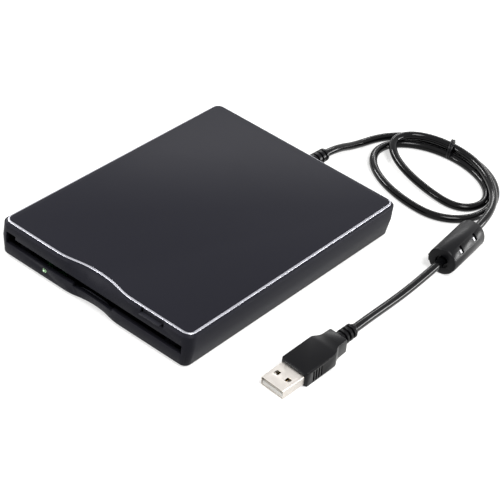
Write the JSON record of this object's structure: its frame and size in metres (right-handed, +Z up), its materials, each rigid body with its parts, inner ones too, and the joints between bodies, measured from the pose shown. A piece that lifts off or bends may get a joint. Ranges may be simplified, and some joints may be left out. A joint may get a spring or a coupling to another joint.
{
  "type": "external floppy disk drive",
  "caption": "Slim portable drive for 3.5 inch floppy disks, with a front slot under a waved bezel, an eject button and a captive lead with a ferrite and a USB plug.",
  "frame": {"origin": "middle of the drive's footprint, on the surface that its feet stand on", "axes": "+Z up; the front with the slot faces -Y; the lead leaves the back towards +Y"},
  "size_m": [0.1438, 0.2247, 0.0176],
  "materials": {
    "charcoal_plastic": "fine satin texture",
    "silver_trim": "satin, bright",
    "button_plastic": "satin",
    "lens_green": "clear green lens",
    "flap_plastic": "matt black",
    "foot_rubber": "matt",
    "screw_steel": "zinc plated",
    "frame_steel": "galvanised sheet",
    "spring_steel": "drawn wire",
    "shaft_steel": "ground",
    "bearing_brass": "sintered bronze",
    "coil_copper": "enamelled wire",
    "carriage_plastic": "glass-filled",
    "board_green": "solder mask",
    "component_black": "moulded epoxy",
    "magnet_dark": "bonded ferrite",
    "head_ceramic": "lapped",
    "ribbon_film": "flat cable",
    "cord_black": "glossy PVC",
    "ferrite_plastic": "satin black shell",
    "ferrite_core": "sintered ferrite",
    "plug_nickel": "nickel plated",
    "plug_tongue": "white",
    "contact_gold": "gold plated"
  },
  "bodies": {
    "case": {"top_cover": "charcoal_plastic", "top_trim": "silver_trim", "bottom_cover": "charcoal_plastic", "case_screws": "screw_steel", "rubber_feet": "foot_rubber", "led_lens": "lens_green", "led_diode": "lens_green", "led_board": "board_green", "flap_pin": "shaft_steel", "flap_spring": "spring_steel", "drive_chassis": "frame_steel", "drive_lid": "frame_steel", "lid_screws": "screw_steel", "chassis_screws": "screw_steel", "slider_springs": "spring_steel", "lever_post": "carriage_plastic", "lever_spring": "spring_steel", "motor_board": "board_green", "stator_coils": "coil_copper", "spindle_bearing": "bearing_brass", "guide_rod": "shaft_steel", "motor_bracket": "frame_steel", "stepper_motor": "frame_steel", "track_zero_sensor": "component_black", "main_board": "board_green", "controller_chip": "component_black", "board_parts": "component_black", "usb_header": "plug_tongue", "wire_plug": "plug_tongue", "motor_ribbon": "ribbon_film", "cord_boot": "cord_black", "cord_lead_in": "cord_black", "cord_coil": "cord_black", "cord_tie": "cord_black", "cord_lead_out": "cord_black", "ferrite_base": "ferrite_plastic", "ferrite_core_lower": "ferrite_core", "plug_overmould": "cord_black", "plug_shell": "plug_nickel", "plug_tongue": "plug_tongue", "plug_contacts": "contact_gold"},
    "slider": {"slider_plate": "frame_steel", "eject_button": "button_plastic"},
    "carrier": {"disk_carrier": "frame_steel"},
    "lever": {"shutter_lever": "carriage_plastic"},
    "flap": {"slot_flap": "flap_plastic"},
    "spindle": {"spindle_rotor": "frame_steel", "rotor_magnet": "magnet_dark", "spindle_shaft": "shaft_steel", "spindle_hub": "frame_steel", "drive_pin": "shaft_steel"},
    "carriage": {"head_carriage": "carriage_plastic", "lower_head": "head_ceramic", "arm_pin": "shaft_steel"},
    "upper_arm": {"upper_head_arm": "carriage_plastic", "upper_head": "head_ceramic", "arm_spring": "spring_steel"},
    "screw": {"lead_screw": "shaft_steel"},
    "ferrite_lid": {"ferrite_cover": "ferrite_plastic", "ferrite_core_upper": "ferrite_core"}
  },
  "joints": [
    {"name": "eject_slide", "type": "slide", "parent": "case", "child": "slider", "axis": [0, -1, 0], "range_m": [0, 0.004], "deforming": ["slider_springs"]},
    {"name": "carrier_slide", "type": "slide", "parent": "case", "child": "carrier", "axis": [0, 0, -1], "range_m": [0, 0.0016]},
    {"name": "shutter_lever_hinge", "type": "hinge", "parent": "case", "child": "lever", "pos_m": [-0.038, 0.04, 0.0125], "axis": [0, 0, 1], "range_deg": [0, 35], "stiffness_Nm_per_rad": 0.01, "springref_deg": -22.92, "deforming": ["lever_spring"]},
    {"name": "flap_hinge", "type": "hinge", "parent": "case", "child": "flap", "pos_m": [0, -0.0666, 0.01215], "axis": [1, 0, 0], "range_deg": [0, 75], "stiffness_Nm_per_rad": 0.0005, "springref_deg": -22.92, "deforming": ["flap_spring"]},
    {"name": "spindle_spin", "type": "hinge", "parent": "case", "child": "spindle", "pos_m": [0, -0.0205, 0.005], "axis": [0, 0, 1], "continuous": true},
    {"name": "carriage_slide", "type": "slide", "parent": "case", "child": "carriage", "axis": [0, -1, 0], "range_m": [0, 0.015]},
    {"name": "upper_arm_hinge", "type": "hinge", "parent": "carriage", "child": "upper_arm", "pos_m": [0, 0.05, 0.0121], "axis": [1, 0, 0], "range_deg": [0, 7.2]},
    {"name": "screw_spin", "type": "hinge", "parent": "case", "child": "screw", "pos_m": [0.02, 0.045, 0.0086], "axis": [0, 1, 0], "range_deg": [0, 1441]},
    {"name": "ferrite_hinge", "type": "hinge", "parent": "case", "child": "ferrite_lid", "pos_m": [0.07609, 0.06024, 0.00455], "axis": [0.1026, -0.9947, 0], "range_deg": [0, 95]}
  ],
  "couplings": [
    {"joint": "carrier_slide", "follows": "eject_slide", "ratio": 0.4},
    {"joint": "upper_arm_hinge", "follows": "eject_slide", "rad_per_m": 31.4},
    {"joint": "screw_spin", "follows": "carriage_slide", "rad_per_m": 1675.5}
  ]
}
